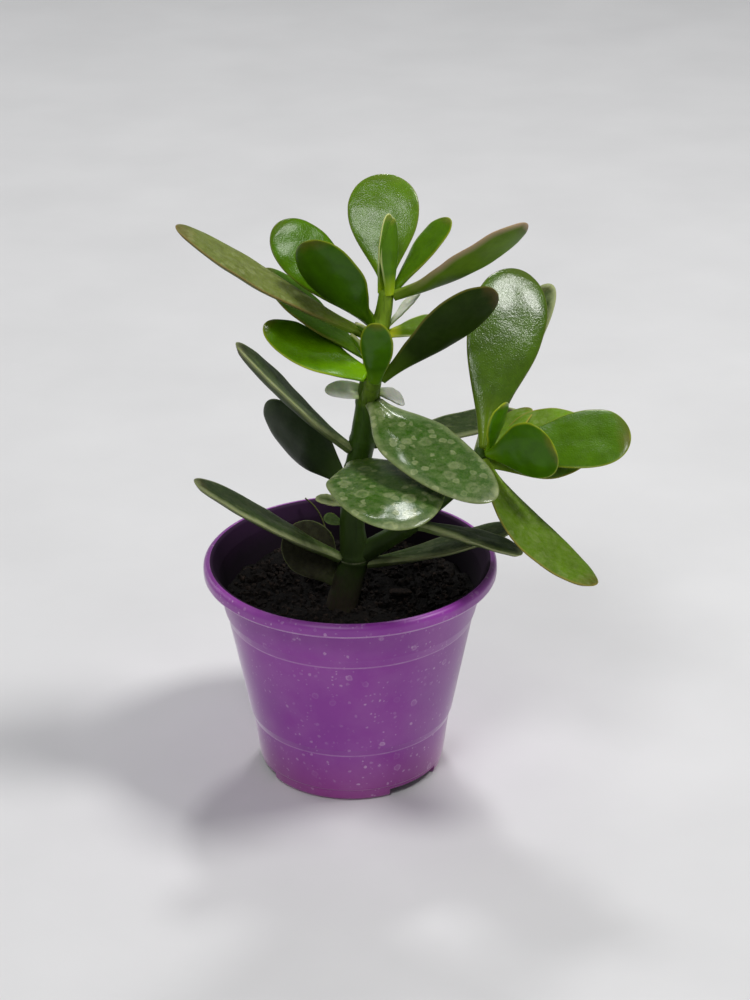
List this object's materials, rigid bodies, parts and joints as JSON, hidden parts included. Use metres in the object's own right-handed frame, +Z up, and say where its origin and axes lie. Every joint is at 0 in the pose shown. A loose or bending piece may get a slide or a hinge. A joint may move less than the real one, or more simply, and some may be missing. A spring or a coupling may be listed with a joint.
{
  "type": "potted succulent plant",
  "caption": "Young jade plant with fleshy spoon-shaped leaves on a branched green stem, in a round tapered plastic nursery pot with a rolled rim and soil.",
  "frame": {"origin": "centre of the pot's flat underside", "axes": "+Z up along the pot's axis, -Y towards the viewer of the picture, +X to the viewer's right"},
  "size_m": [0.1751, 0.1348, 0.2472],
  "materials": {
    "pot_plastic": "satin",
    "potting_soil": "matte",
    "stem": "satin",
    "leaf_old": "satin",
    "leaf_young": "satin"
  },
  "bodies": {
    "root": {"pot": "pot_plastic", "soil": "potting_soil", "stem_main": "stem", "stem_side": "stem", "stem_front": "stem", "bud_top": "leaf_young", "bud_side": "leaf_young", "leaf_at_soil": "leaf_old", "leaf_low_left": "leaf_old", "leaf_low_right": "leaf_old", "leaf_trunk_tiny": "leaf_old", "leaf_trunk_pale": "leaf_old", "leaf_left_shaded": "leaf_old", "leaf_front_broad": "leaf_old", "leaf_mid_left": "leaf_old", "leaf_mid_right": "leaf_old", "leaf_front_spotted": "leaf_old", "leaf_pale_left": "leaf_young", "leaf_pale_right": "leaf_young", "leaf_bud_yellow": "leaf_young", "leaf_behind_long": "leaf_old", "leaf_long_left": "leaf_old", "leaf_mid_small_right": "leaf_young", "leaf_sliver_right": "leaf_young", "leaf_bud_left": "leaf_young", "leaf_upper_left_back": "leaf_old", "leaf_upper_left_front": "leaf_young", "leaf_top_right_long": "leaf_old", "leaf_top_right_small": "leaf_young", "leaf_top_back": "leaf_old", "leaf_shoot_small": "leaf_young", "leaf_shoot_left": "leaf_young", "leaf_shoot_right": "leaf_old", "leaf_branch_low": "leaf_old", "leaf_side_far": "leaf_old", "leaf_side_behind": "leaf_old", "leaf_side_tucked": "leaf_old", "leaf_side_hanging": "leaf_old", "leaf_side_right": "leaf_young", "leaf_side_upright": "leaf_old", "leaf_side_round": "leaf_young", "leaf_side_small": "leaf_young"}
  },
  "joints": []
}
